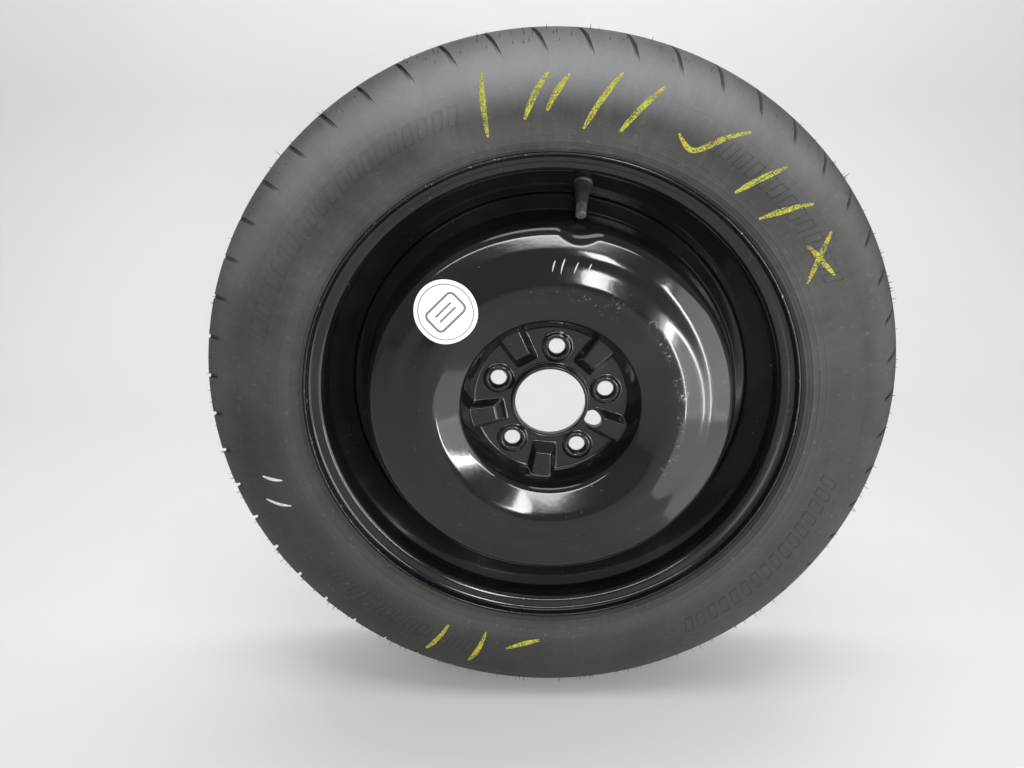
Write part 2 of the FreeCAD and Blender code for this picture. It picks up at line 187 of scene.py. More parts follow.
def blackPaint(name, wear):
    # gloss enamel; each wear row is a worn ring: middle, half width, turn, spread, scratch low and high
    material, w = newFinish(name)
    point, radius, angle, _, y, _ = wheelPlace(w)
    peel = w.noise(point, 210.0, 2.0, 0.5)
    film = w.noise(point, 9.0, 5.0, 0.6)
    speck = w.noise(point, 330.0, 2.0, 0.6)
    fleck = w.noise(point, 120.0, 4.0, 0.7)
    scrape = w.make("CombineXYZ", {}, {0: angle * 22.0, 1: radius * 0.09, 2: y * 30.0})
    scratch = w.noise(scrape, 3.2, 6.0, 0.72)
    film = film.step(0.42, 0.78)
    dust = film * 0.05 + speck.step(0.71, 0.76) * 0.35 + fleck.step(0.72, 0.80) * 0.25
    worn = None
    for middle, half, turn, spread, low, high in wear:
        mask = radius.ring(middle, half) * angle.ring(math.radians(turn), math.radians(spread))
        mask = mask * scratch.step(low, high) * fleck.step(0.52, 0.64)
        worn = mask if worn is None else w.sum("MAXIMUM", worn, mask)
    colour = w.sum("MINIMUM", dust, 1.0).over(paintLook["base"], paintLook["dust"])
    colour = worn.over(colour, paintLook["bare"])
    rough = paintLook["rough"] + film * 0.10 + dust * 0.35 + worn * 0.3
    press = w.noise(point, 16.0, 2.0, 0.45)
    height = peel * 0.5 + press * 4.0 + worn * -0.8
    bump = w.make("Bump", {}, {"Strength": 0.12, "Distance": 0.0004, "Height": height})
    shown(w, w.make("BsdfPrincipled", {}, {
        "Base Color": colour, "Roughness": rough, "Normal": bump, "Specular IOR Level": 0.36,
        "Coat Weight": 0.2, "Coat Roughness": 0.04}))
    return material


def stickerVinyl(centre, size):
    # plain white disc with a thin ring and a rounded frame
    material, w = newFinish("stickerVinyl")
    point, _, _, x, _, z = wheelPlace(w)
    across = (x - centre[0]) * (1.0 / size)
    up = (z - centre[1]) * (1.0 / size)
    tilt = math.radians(-44.3)
    side = across * math.cos(tilt) - up * math.sin(tilt)
    rise = across * math.sin(tilt) + up * math.cos(tilt)
    away = w.sum("SQRT", side * side + rise * rise)
    ring = away.ring(0.86, 0.026) > 0.3
    wide = w.sum("MAXIMUM", w.sum("ABSOLUTE", side) - 0.42, 0.0)
    tall = w.sum("MAXIMUM", w.sum("ABSOLUTE", rise) - 0.20, 0.0)
    box = w.sum("SQRT", wide * wide + tall * tall)
    panel = box.ring(0.16, 0.06) > 0.3
    bars = (w.sum("ABSOLUTE", side) < 0.34) * (w.sum("ABSOLUTE", rise).ring(0.10, 0.05) > 0.3)
    ink = w.sum("MAXIMUM", w.sum("MAXIMUM", ring, panel), bars)
    smudge = w.noise(point, 45.0, 5.0, 0.65).step(0.5, 0.8)
    colour = (smudge * 0.3).over((0.80, 0.80, 0.79), (0.52, 0.51, 0.48))
    colour = (ink * 0.9).over(colour, (0.10, 0.105, 0.11))
    shown(w, w.make("BsdfPrincipled", {}, {
        "Base Color": colour, "Roughness": 0.32 + smudge * 0.25, "Specular IOR Level": 0.45}))
    return material


def crayonWax(name, tint, gapLow, gapHigh):
    # broken wax or chalk line on a rough ground
    material, w = newFinish(name)
    point = w.make("TexCoord", out=3)
    grain = w.noise(point, 620.0, 3.0, 0.7)
    patch = w.noise(point, 70.0, 3.0, 0.6)
    cover = (grain + patch * 0.6).step(gapLow, gapHigh)
    colour = patch.over(tint, tuple(c * 0.72 for c in tint))
    shown(w, w.make("BsdfPrincipled", {}, {
        "Base Color": colour, "Roughness": 0.6 + grain * 0.2, "Alpha": cover}))
    return material


def plainFinish(name, tint, second, rough, scale, metal=0.0, depth=0.0003):
    # moulded or turned small piece with a little variation
    material, w = newFinish(name)
    point = w.make("TexCoord", out=3)
    cloud = w.noise(point, scale, 5.0, 0.6)
    fine = w.noise(point, scale * 7.0, 3.0, 0.6)
    colour = cloud.step(0.35, 0.75).over(tint, second)
    bump = w.make("Bump", {}, {"Strength": 0.25, "Distance": depth, "Height": fine})
    shown(w, w.make("BsdfPrincipled", {}, {
        "Base Color": colour, "Roughness": rough + cloud * 0.15, "Metallic": metal, "Normal": bump}))
    return material


# lines and grids

def unit(a, b):
    d = np.subtract(b, a)
    return d / np.hypot(*d)


def bentRow(points, bends, step):
    # straight runs and arcs as rows of radius and Y, with the left-hand normal of each row
    places, normals = [], []

    def addRun(a, b):
        count = max(1, int(np.ceil(np.hypot(*np.subtract(b, a)) / step)))
        along = unit(a, b)
        for k in range(count + 1):
            places.append(np.add(a, np.subtract(b, a) * k / count))
            normals.append((-along[1], along[0]))

    start = np.array(points[0], float)
    for i in range(1, len(points) - 1):
        p = np.array(points[i], float)
        if not bends[i]:
            addRun(start, p)
            start = p
            continue
        a, b = unit(p, points[i - 1]), unit(p, points[i + 1])
        half = 0.5 * math.acos(float(np.dot(a, b)))
        run = bends[i] / math.tan(half)
        first, second = p + a * run, p + b * run
        centre = p + unit((0, 0), a + b) * bends[i] / math.sin(half)
        addRun(start, first)
        turn = -1.0 if a[0] * b[1] - a[1] * b[0] > 0 else 1.0
        sweep = math.pi - 2 * half
        count = max(4, int(sweep * bends[i] / step * 1.6), int(math.degrees(sweep) / 7))
        spoke = first - centre
        for k in range(1, count):
            c, s = math.cos(turn * sweep * k / count), math.sin(turn * sweep * k / count)
            arm = np.array((spoke[0] * c - spoke[1] * s, spoke[0] * s + spoke[1] * c))
            places.append(centre + arm)
            normals.append(tuple(-turn * arm / bends[i]))
        start = second
    addRun(start, points[-1])
    return np.array(places), np.array(normals)


def smoothRow(points, count):
    # natural cubic line through the points, evenly spaced
    p = np.array(points, float)
    t = np.r_[0, np.cumsum(np.hypot(*np.diff(p, axis=0).T))]
    h = np.diff(t)
    n = len(p)
    a = np.eye(n)
    rhs = np.zeros((n, 2))
    for i in range(1, n - 1):
        a[i, i - 1:i + 2] = h[i - 1], 2 * (h[i - 1] + h[i]), h[i]
        rhs[i] = 6 * ((p[i + 1] - p[i]) / h[i] - (p[i] - p[i - 1]) / h[i - 1])
    m = np.linalg.solve(a, rhs)
    u = np.linspace(0, t[-1], count)
    k = np.clip(np.searchsorted(t, u, side="right") - 1, 0, n - 2)
    left, right, span = (u - t[k])[:, None], (t[k + 1] - u)[:, None], h[k][:, None]
    line = m[k] * right ** 3 / (6 * span) + m[k + 1] * left ** 3 / (6 * span)
    line += (p[k] / span - m[k] * span / 6) * right + (p[k + 1] / span - m[k + 1] * span / 6) * left
    return line


def softClamp(t, e=0.1):
    # 0 to 1 with rounded ends
    return 0.5 * (np.sqrt(t * t + e * e) - np.sqrt((t - 1) ** 2 + e * e) + 1)


def softMin(a, b, k):
    # the smaller of two, with a rounded join
    h = np.clip(0.5 + 0.5 * (b - a) / k, 0, 1)
    return b * (1 - h) + a * h - k * h * (1 - h)


def wheelGrid(radius, y, angle):
    # rows and columns of radius, Y and angle to points in metres
    return np.stack([radius * np.sin(angle), y + 0 * angle, radius * np.cos(angle)], -1) * mm


def gridPiece(name, points, material, body="wheel", closeRows=True, closeColumns=True, sharp=None):
    rows, columns = points.shape[:2]
    index = np.arange(rows * columns).reshape(rows, columns)
    below = np.roll(index, -1, 0) if closeRows else index[1:]
    here = index if closeRows else index[:-1]
    if closeColumns:
        faces = np.stack([here, np.roll(here, -1, 1), np.roll(below, -1, 1), below], -1)
    else:
        faces = np.stack([here[:, :-1], here[:, 1:], below[:, 1:], below[:, :-1]], -1)
    return meshPiece(name, points.reshape(-1, 3), faces.reshape(-1, 4), material, body, sharp)


def meshPiece(name, points, faces, material, body="wheel", sharp=None):
    mesh = bpy.data.meshes.new(name)
    mesh.from_pydata(np.asarray(points).tolist(), [], faces.tolist() if hasattr(faces, "tolist") else faces)
    mesh.validate()
    return placePiece(name, mesh, material, body, sharp)


def placePiece(name, mesh, material, body="wheel", sharp=None):
    work = bmesh.new()
    work.from_mesh(mesh)
    bmesh.ops.recalc_face_normals(work, faces=work.faces)
    work.to_mesh(mesh)
    work.free()
    mesh.polygons.foreach_set("use_smooth", [True] * len(mesh.polygons))
    if sharp:
        mesh.set_sharp_from_angle(angle=math.radians(sharp))
    mesh.materials.clear()
    mesh.materials.append(material)
    piece = bpy.data.objects.new(name, mesh)
    bpy.context.scene.collection.objects.link(piece)
    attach(piece, body)
    return piece


def cutBy(piece, cutters):
    # takes round holes out of a finished piece
    work = bmesh.new()
    for place, axis, radius, length in cutters:
        turn = Vector((0, 0, 1)).rotation_difference(Vector(axis)).to_matrix().to_4x4()
        bmesh.ops.create_cone(work, cap_ends=True, segments=72, radius1=radius * mm, radius2=radius * mm,
                              depth=length * mm, matrix=Matrix.Translation(Vector(place) * mm) @ turn)
    mesh = bpy.data.meshes.new("cutter")
    work.to_mesh(mesh)
    work.free()
    cutter = bpy.data.objects.new("cutter", mesh)
    bpy.context.scene.collection.objects.link(cutter)
    change = piece.modifiers.new("holes", "BOOLEAN")
    change.operation = "DIFFERENCE"
    change.solver = "EXACT"
    change.object = cutter
    bpy.context.view_layer.update()
    result = bpy.data.meshes.new_from_object(piece.evaluated_get(bpy.context.evaluated_depsgraph_get()))
    piece.modifiers.clear()
    old = piece.data
    piece.data = result
    bpy.data.meshes.remove(old)
    bpy.data.objects.remove(cutter)
    bpy.data.meshes.remove(mesh)


# valve axis, shared by rim, disc and valve

valve = dict(angle=7.8, slopeTop=(229.2, -31.0), slopeFoot=(206.6, -13.0), sheet=2.6, hole=5.75,
             holeLength=14.0, capRadius=5.1, capLow=28.0, scallopGap=0.3, scallopRound=40.0,
             scallopBlend=4.0, scallopEase=8, scallopEnd=80, scallopWide=30, scallopDeep=40)
slope = unit(valve["slopeTop"], valve["slopeFoot"])
valveOut = np.array((-slope[1], slope[0]))
valveSeat = (np.add(valve["slopeTop"], valve["slopeFoot"]) / 2) + valveOut * valve["sheet"]
valveTurn = math.radians(valve["angle"])
valveOrigin = np.array((valveSeat[0] * math.sin(valveTurn), valveSeat[1], valveSeat[0] * math.cos(valveTurn)))
valveAxis = np.array((valveOut[0] * math.sin(valveTurn), valveOut[1], valveOut[0] * math.cos(valveTurn)))

# rim

rim = dict(seat=231.0, half=50.8, sheet=2.6, flange=246.5, lip=62.0, curl=9.0, corner=6.5, drop=1.8,
           seatEnd=31.0, well=206.6, wellFront=-13.0, wellRear=16.0, bend=5.0, rowStep=3.0, endRound=0.35,
           columns=360, seamAngle=187.0, seamHigh=0.35, seamHalf=0.22, sharp=50)


def buildRim(material):
    front = [(rim["flange"], -rim["lip"]), (rim["flange"], -rim["half"]), (rim["seat"], -rim["half"]),
             (rim["seat"] - rim["drop"], -rim["seatEnd"]), (rim["well"], rim["wellFront"])]
    rear = [(rim["well"], rim["wellRear"]), (rim["seat"] - rim["drop"], rim["seatEnd"]),
            (rim["seat"], rim["half"]), (rim["flange"], rim["half"]), (rim["flange"], rim["lip"])]
    bends = [0, rim["curl"], rim["corner"], rim["bend"], rim["bend"]]
    outer, normal = bentRow(front + rear, bends + bends[::-1], rim["rowStep"])
    inner = outer + normal * rim["sheet"]
    roundEnd = []
    for tip, back in ((outer[-1], inner[-1]), (inner[0], outer[0])):
        middle, arm = (tip + back) / 2, (tip - back) / 2
        forward = np.array((0.0, 1.0)) if tip[1] > 0 else np.array((0.0, -1.0))
        roundEnd.append([middle + arm * math.cos(a) + forward * rim["sheet"] * rim["endRound"] * math.sin(a)
                         for a in np.linspace(0, math.pi, 7)[1:-1]])
    section = np.vstack([outer, roundEnd[0], inner[::-1], roundEnd[1]])
    seam = math.radians(rim["seamAngle"])
    angle = np.sort(np.r_[np.linspace(0, 2 * math.pi, rim["columns"], endpoint=False),
                          seam + np.radians((-0.45, -0.3, -0.15, 0.0, 0.15, 0.3, 0.45))])
    # low ridge where the rolled band was butt welded and ground
    ridge = rim["seamHigh"] * np.exp(-((angle - seam) / math.radians(rim["seamHalf"])) ** 2)
    radius = section[:, :1] + 0 * angle
    axisSide = np.zeros(len(section))
    innerStart = len(outer) + len(roundEnd[0])
    axisSide[innerStart:innerStart + len(inner)] = 1.0
    radius = radius - axisSide[:, None] * ridge[None, :]
    points = wheelGrid(radius, section[:, 1:], angle[None, :])
    piece = gridPiece("rimBand", points, material, sharp=rim["sharp"])
    cutBy(piece, [(valveOrigin, valveAxis, valve["hole"], valve["holeLength"])])
    piece.data.set_sharp_from_angle(angle=math.radians(rim["sharp"]))
    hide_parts("rim")


# wheel disc

disc = dict(sheet=4.0, bore=35.25, collarTop=-49.0, hub=-40.5, foot=77.0, flangeEnd=9.0, flangeRadius=203.95,
            boltCircle=57.15, boltAngle=6.35, boltHole=8.0, seatMouth=10.3, seatFloor=7.4, seatSlope=30,
            bossFoot=15.5, bossTop=13.0, bossHeight=2.5, locating=(47.9, 114.3, 8.5), holeLength=40.0,
            bridgeAngle=42.35, bridgeHeight=9.0, bridgeFoot=46.0, bridgeTop=57.0, bridgeHalf=7.5,
            bridgeOuterHalf=10.5, bridgeReach=87.0, bridgeRun=5.5, bridgeInset=3.0, bridgeBlend=1.6,
            liftEnd=72.0, hubStart=40.3, hubEnd=91, hubFront=-66, domeStart=88, domeEnd=183, domeRear=-60,
            rowStep=1.35, backGap=0.35, backFine=92, columns=440, valveSpan=8.5, valveColumns=35, sharp=48)
collar = disc["bore"] + disc["sheet"]
discLine = [(collar, disc["collarTop"] + disc["sheet"] / 2), (collar, disc["hub"]),
            (disc["foot"], disc["hub"]), (90.0, -65.5), (122.0, -81.0), (147.0, -75.9), (159.0, -74.95),
            (181.5, -68.9), (189.0, -24.0), (disc["flangeRadius"], -14.0),
            (disc["flangeRadius"], disc["flangeEnd"])]
discBends = [0, 1.2, 6.0, 10.0, 35.0, 60.0, 45.0, 13.0, 7.0, 6.0, 0]


def bridgeLift(radius, angle, inset):
    # height of the five pressed bridges between the bolt holes
    lift = np.zeros(np.broadcast(radius, angle).shape)
    for k in range(5):
        away = angle - math.radians(disc["bridgeAngle"] + 72 * k)
        u, v = radius * np.sin(away), radius * np.cos(away)
        rise = (v - disc["bridgeFoot"] - inset) / (disc["bridgeTop"] - disc["bridgeFoot"])
        share = (v - disc["bridgeTop"]) / (disc["bridgeReach"] - disc["bridgeTop"])
        half = disc["bridgeHalf"] + (disc["bridgeOuterHalf"] - disc["bridgeHalf"]) * share - inset * 0.7
        side = (half + disc["bridgeRun"] - np.abs(u)) / disc["bridgeRun"]
        t = softMin(rise, side, 0.12)
        lift = np.maximum(lift, np.where(v > 0, softClamp(t, 0.07), 0))
    return lift * disc["bridgeHeight"]


def bossLift(radius, angle):
    # raised bosses round the bolt holes, less their cone seats
    lift = np.zeros(np.broadcast(radius, angle).shape)
    for k in range(5):
        a = math.radians(disc["boltAngle"] + 72 * k)
        x = radius * np.sin(angle) - disc["boltCircle"] * math.sin(a)
        z = radius * np.cos(angle) - disc["boltCircle"] * math.cos(a)
        away = np.hypot(x, z)
        rise = (disc["bossFoot"] - away) / (disc["bossFoot"] - disc["bossTop"])
        boss = softClamp(rise, 0.14) * disc["bossHeight"]
        mouth = np.maximum(disc["seatMouth"] - np.maximum(away, disc["seatFloor"]), 0)
        seat = mouth / math.tan(math.radians(disc["seatSlope"]))
        lift = lift + boss - seat
    return lift


def discFront(radius):
    # Y of the dome's outer face, from the hub wall to the outer edge
    line, _ = bentRow(discLine, discBends, 1.0)
    keep = (line[:, 0] > disc["domeStart"]) & (line[:, 0] < disc["domeEnd"]) & (line[:, 1] < disc["domeRear"])
    return np.interp(radius, line[keep][:, 0], line[keep][:, 1])


def scallop(points, reach):
    # pressed clearance in front of the valve, with soft edges
    p = points / mm - valveOrigin
    along = p @ valveAxis
    side = p - along[..., None] * valveAxis
    inward = np.array((-math.sin(valveTurn), 0, -math.cos(valveTurn)))
    inward = inward - valveAxis * float(inward @ valveAxis)
    inward = inward / np.linalg.norm(inward)
    depth = side @ inward
    wide = np.linalg.norm(side - depth[..., None] * inward, axis=-1)
    wall = reach - wide ** 2 / (2 * valve["scallopRound"])
    ease = valve["scallopEase"]
    inRange = (along > valve["capLow"] - ease) & (along < valve["scallopEnd"])
    inRange &= (wide < valve["scallopWide"]) & (np.abs(depth) < valve["scallopDeep"])
    fade = np.clip((along - valve["capLow"] + ease) / ease, 0, 1)
    move = np.where(inRange, -softMin(-depth, -wall, valve["scallopBlend"]) - depth, 0) * fade
    return points + move[..., None] * inward * mm


def buildDisc(material):
    front, normal = bentRow(discLine, discBends, disc["rowStep"])
    back = front + normal * disc["sheet"]
    # the back has half the rows outside the hub
    keep = np.r_[True, np.hypot(*np.diff(back, axis=0).T) > disc["backGap"]]
    thin = np.zeros(len(back), bool)
    thin[::2] = True
    back = back[keep & (thin | (back[:, 0] < disc["backFine"]))]
    half = disc["sheet"] / 2
    lipR, lipY = disc["bore"] + half, disc["collarTop"] + half
    lip = [(lipR + half * math.cos(a), lipY - half * math.sin(a)) for a in np.linspace(0, math.pi, 9)[1:-1]]
    # columns bunch in front of the valve
    even = np.linspace(0, 360, disc["columns"], endpoint=False)
    near = valve["angle"] + np.linspace(-disc["valveSpan"], disc["valveSpan"], disc["valveColumns"])
    away = np.abs((even - valve["angle"] + 180) % 360 - 180)
    angle = np.radians(np.sort(np.r_[even[away > disc["valveSpan"] + 0.2], near]))[None, :]
    hubRear = disc["hub"] + disc["sheet"]
    rows = []
    for line, isFront in ((front, True), (back, False)):
        r, y = line[:, :1], line[:, 1:] + 0 * angle
        inHub = (line[:, 0] > disc["hubStart"]) & (line[:, 0] < disc["hubEnd"])
        inHub &= line[:, 1] > disc["hubFront"]
        if isFront:
            ground = disc["hub"]
            plane = ground - bridgeLift(r, angle, 0.0) - bossLift(r, angle)
        else:
            ground = hubRear
            plane = ground - bridgeLift(r, angle, disc["bridgeInset"])
        lifted = plane - ground + y
        merged = softMin(y, plane, disc["bridgeBlend"])
        shaped = np.where(r < disc["liftEnd"], lifted, merged)
        y = np.where(inHub[:, None], shaped, y)
        points = wheelGrid(r + 0 * angle, y, angle)
        points = scallop(points, valve["capRadius"] + valve["scallopGap"] + (0 if isFront else disc["sheet"]))
        rows.append(points)
    lipRows = wheelGrid(np.array(lip)[:, :1] + 0 * angle, np.array(lip)[:, 1:], angle)
    piece = gridPiece("discPressing", np.concatenate([lipRows[::-1], rows[0], rows[1][::-1]]), material)
    cutters = []
    for k in range(5):
        a = math.radians(disc["boltAngle"] + 72 * k)
        place = (disc["boltCircle"] * math.sin(a), disc["hub"], disc["boltCircle"] * math.cos(a))
        cutters.append((place, (0, 1, 0), disc["boltHole"], disc["holeLength"]))
    r, a, hole = disc["locating"]
    a = math.radians(a)
    cutters.append(((r * math.sin(a), disc["hub"], r * math.cos(a)), (0, 1, 0), hole, disc["holeLength"]))
    cutBy(piece, cutters)
    piece.data.set_sharp_from_angle(angle=math.radians(disc["sharp"]))
    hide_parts("wheel_disc")


# sticker

sticker = dict(x=-100.0, z=102.5, radius=30.6, lift=0.3, under=0.05, rings=20, columns=96)


def buildSticker(material):
    rings = np.r_[np.linspace(0.02, 0.985, sticker["rings"]), 1.0, 1.0]
    turn = np.linspace(0, 2 * math.pi, sticker["columns"], endpoint=False)[None, :]
    x = sticker["x"] + sticker["radius"] * rings[:, None] * np.cos(turn)
    z = sticker["z"] + sticker["radius"] * rings[:, None] * np.sin(turn)
    # flat top, then the edge turned down on to the paint
    top = np.full(sticker["rings"], sticker["lift"])
    lift = np.r_[top, sticker["lift"] * 0.85, sticker["under"]][:, None]
    y = discFront(np.hypot(x, z)) - lift
    points = np.stack([x, y, z], -1) * mm
    rows, columns = points.shape[:2]
    flat = points.reshape(-1, 3).tolist()
    flat.append((points[0].mean(0)).tolist())
    faces = []
    for i in range(rows - 1):
        for j in range(columns):
            k = (j + 1) % columns
            faces.append((i * columns + j, i * columns + k, (i + 1) * columns + k, (i + 1) * columns + j))
    faces += [(len(flat) - 1, (j + 1) % columns, j) for j in range(columns)]
    piece = meshPiece("stickerDisc", flat, faces, material)
    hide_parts("sticker")


# tyre

tyre = dict(radius=352.0, innerRadius=339.5, beadTop=(246.6, -62.0), pitchRadius=350.0, pitches=52,
            phase=-3.5, slant=20.0, slantEnd=62.0, grooveDepth=4.5, grooveHalf=2.0,
            grooveWall=0.28, grooveStart=-23.4, grooveFoot=325, stagger=11.0, ribY=15.0, ribHalf=3.12,
            ribWall=0.4, beadRun=18, sideRun=88, crownRun=19, samples=2401, sharp=40)
sideLine = [(247.5, -63.6), (250.2, -66.2), (255.0, -69.0), (264.0, -72.2), (276.0, -74.0), (288.0, -74.5),
            (302.0, -73.0), (316.0, -68.6), (329.0, -61.0), (339.0, -51.0), (345.5, -41.5), (349.4, -31.5),
            (351.2, -19.0)]
insideLine = [(236.3, -31.5), (246.0, -37.5), (256.0, -51.0), (268.0, -61.5), (283.0, -66.5), (300.0, -65.0),
              (315.0, -59.5), (327.0, -49.5), (335.0, -36.0), (338.8, -18.0)]
beadFoot = [(246.6, 56.5), (243.0, 52.5), (237.5, 50.7), (231.1, 44.0), (229.4, 31.5), (236.3, 31.5)]
# mould rings are radius, half width and height; the groove run is distance from the middle, then depth
mouldRings = [(250.0, 1.1, 0.9), (253.2, 1.0, 0.7), (256.4, 1.2, 0.8), (321.0, 1.6, 0.5)]
grooveRun = ((23.0, 23.8, 46.0, 52.0, 60.5, 62.0), (0, 4.5, 4.5, 3.6, 0.3, 0))


def mirrored(points):
    return [(r, -y) for r, y in points[::-1]]


frontHalf = [tyre["beadTop"]] + sideLine
outerTyre = smoothRow(frontHalf + [(tyre["radius"], 0.0)] + mirrored(frontHalf), tyre["samples"])


def sideY(radius):
    # Y of the outer sidewall at a radius
    half = outerTyre[:tyre["samples"] // 2 + 1]
    return np.interp(radius, half[:, 0], half[:, 1])


def buildTyre(material):
    arc = np.r_[0, np.cumsum(np.hypot(*np.diff(outerTyre, axis=0).T))]
    total = arc[-1]
    crown = total / 2
    # rows along the outside: fine at the bead ribs, the shoulder and the tread grooves
    bead, side = tyre["beadRun"], tyre["sideRun"]
    marks = list(np.linspace(0, bead, 14)) + list(np.linspace(bead, side, 20)[1:])
    marks += list(np.linspace(side, crown - tyre["crownRun"], 16)[1:])
    for y in (-tyre["ribY"], 0.0):
        marks += [crown + y + d for d in (-3.9, -3.1, -2.7, 2.7, 3.1, 3.9)]
    front = np.array(sorted(m for m in marks if m < crown - 0.01))
    rear = total - front[::-1]
    coarse = [m for i, m in enumerate(rear) if m < total - side or i % 2 == 0]
    place = np.r_[front, crown, coarse]
    r, y = np.interp(place, arc, outerTyre[:, 0]), np.interp(place, arc, outerTyre[:, 1])
    slopeR, slopeY = np.gradient(outerTyre[:, 0], arc), np.gradient(outerTyre[:, 1], arc)
    nr, ny = np.interp(place, arc, slopeY), -np.interp(place, arc, slopeR)
    # grid columns bunch at the walls of each lateral groove
    pitch = 2 * math.pi * tyre["pitchRadius"] / tyre["pitches"]
    u = np.array((-18, -13.5, -9, -5.5, -3.2, -2.05, -1.7, -0.6,
                  0.6, 1.7, 2.05, 3.2, 5.5, 9, 13.5, 18, pitch / 2))
    column = (np.arange(tyre["pitches"])[:, None] * pitch + u[None, :]).ravel()
    unitU = np.tile(u, tyre["pitches"])
    lean = math.tan(math.radians(tyre["slant"]))
    # both shoulders slant the same way, and the rear one is half a pitch further round
    inY = np.clip(y, -tyre["slantEnd"], tyre["slantEnd"])
    start = tyre["grooveStart"]
    shift = np.where(inY < start, (start - inY) * lean, 0)
    shift = shift + np.where(inY > -start, (inY + start) * lean, 0)
    shift = shift + np.clip((y + tyre["stagger"]) / (2 * tyre["stagger"]), 0, 1) * pitch / 2
    angle = (column[None, :] + shift[:, None]) / tyre["pitchRadius"] + math.radians(tyre["phase"])
    # lateral grooves, fading out on the shoulder
    depth = np.interp(np.abs(y), *grooveRun)
    depth = np.where(r < tyre["grooveFoot"], 0, depth)
    wall = np.clip((tyre["grooveHalf"] - np.abs(unitU)) / tyre["grooveWall"], 0, 1)
    cut = depth[:, None] * wall[None, :]
    ribs = np.zeros(len(y))
    for middle in (-tyre["ribY"], 0.0, tyre["ribY"]):
        ribs = np.maximum(ribs, np.clip((tyre["ribHalf"] - np.abs(y - middle)) / tyre["ribWall"], 0, 1))
    cut = np.maximum(cut, (ribs * tyre["grooveDepth"])[:, None])
    # mould rings beside the flange and a fine line below the shoulder
    proud = np.zeros(len(y))
    for middle, half, high in mouldRings:
        proud = np.maximum(proud, np.clip(1 - np.abs(r - middle) / half, 0, 1) * high)
    out = proud[:, None] - cut
    radius, yy = r[:, None] + nr[:, None] * out, y[:, None] + ny[:, None] * out
    points = [wheelGrid(radius, yy, angle)]
    # bead foot and inside, plain
    foot = np.array(beadFoot)
    inside = smoothRow(insideLine + [(tyre["innerRadius"], 0.0)] + mirrored(insideLine), 11)[::-1][1:-1]
    inner = np.vstack([foot, inside, foot[::-1] * (1, -1)])
    turn = np.linspace(angle[-1:], angle[:1], len(inner) + 2)[1:-1, 0]
    points.append(wheelGrid(inner[:, :1] + 0 * turn, inner[:, 1:], turn))
    piece = gridPiece("tyreBody", np.concatenate(points), material, sharp=tyre["sharp"])
    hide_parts("tyre")


markRadius = 290.0  # marks and blocks are laid out as lengths along this ring


def onSidewall(angle, radius, lift):
    # point on the outer sidewall, raised by lift along its normal
    y = sideY(radius)
    step = (sideY(radius + 0.5) - sideY(radius - 0.5))
    size = np.sqrt(1 + step ** 2)
    r, y = radius + lift * step / size, y - lift / size
    return np.stack([r * np.sin(angle), y, r * np.cos(angle)], -1) * mm


def onDome(angle, radius, lift):
    y = discFront(radius) - lift
    return np.stack([radius * np.sin(angle), y, radius * np.cos(angle)], -1) * mm


def strokePoints(stroke, width, lift, ground, seed):
    # a hand-drawn line as a thin ribbon that lies on its ground
    rng = np.random.default_rng(seed)
    line = smoothRow([(math.radians(a) * markRadius, r) for a, r in stroke], max(12, len(stroke) * 8))
    along = np.gradient(line, axis=0)
    along /= np.linalg.norm(along, axis=1)[:, None]
    side = np.stack([-along[:, 1], along[:, 0]], -1)
    half = width / 2 * (0.75 + 0.4 * rng.random(len(line)))
    half = np.convolve(np.pad(half, 2, mode="edge"), np.ones(5) / 5, mode="valid")
    half *= 0.12 + 0.98 * np.sin(math.pi * np.linspace(0.03, 0.94, len(line)) ** 0.8) ** 0.7
    across = np.linspace(-1, 1, 5)
    flat = line[:, None, :] + side[:, None, :] * (half[:, None] * across[None, :])[..., None]
    crown = lift * (1 - 0.9 * across ** 2)
    return ground(flat[..., 0] / markRadius, flat[..., 1], crown[None, :])


def ribbonPiece(name, strokes, width, lift, ground, material):
    points, faces = [], []
    for n, stroke in enumerate(strokes):
        grid = strokePoints(stroke, width, lift, ground, n + 3)
        rows, columns = grid.shape[:2]
        base = len(points)
        points += grid.reshape(-1, 3).tolist()
        for i in range(rows - 1):
            for j in range(columns - 1):
                a = base + i * columns + j
                faces.append((a, a + 1, a + columns + 1, a + columns))
    return meshPiece(name, points, faces, material)


# moulded blocks on the sidewall: plain raised outlines

blocks = dict(low=283.0, high=299.0, line=1.1, lift=0.5, sunk=0.15, share=0.56, lean=0.6, rows=7,
              groups=((-76.0, -16.0, 21), (28.0, 64.0, 13), (104.0, 150.0, 16), (196.0, 232.0, 13)))


